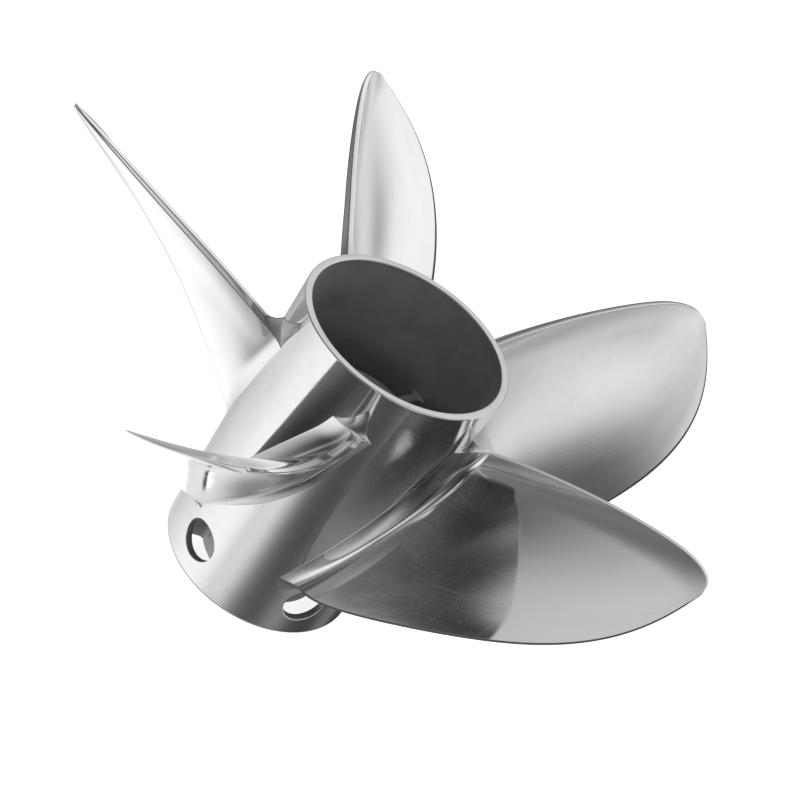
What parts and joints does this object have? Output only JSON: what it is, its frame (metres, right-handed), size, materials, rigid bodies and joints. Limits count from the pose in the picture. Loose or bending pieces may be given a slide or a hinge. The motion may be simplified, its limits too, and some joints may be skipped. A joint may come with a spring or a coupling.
{
  "type": "outboard motor propeller, through-hub exhaust",
  "caption": "Right-hand stainless steel boat propeller with raked, cupped blades on an open barrel hub that exhaust runs through.",
  "frame": {"origin": "on the shaft axis, in the plane of the forward end of the barrel, on which the part stands", "axes": "+Z runs aft along the shaft axis, out of the barrel's mouth; +X points to the tip of blade_1"},
  "size_m": [0.3838, 0.3932, 0.2092],
  "materials": {
    "polished_stainless": "polished",
    "cast_stainless": "satin"
  },
  "bodies": {
    "root": {"outer_hub": "polished_stainless", "blade_1": "polished_stainless", "blade_2": "polished_stainless", "blade_3": "polished_stainless", "blade_4": "polished_stainless", "blade_5": "polished_stainless", "inner_hub": "cast_stainless", "rib_1": "cast_stainless", "rib_2": "cast_stainless", "rib_3": "cast_stainless", "rib_4": "cast_stainless", "rib_5": "cast_stainless"}
  },
  "joints": []
}
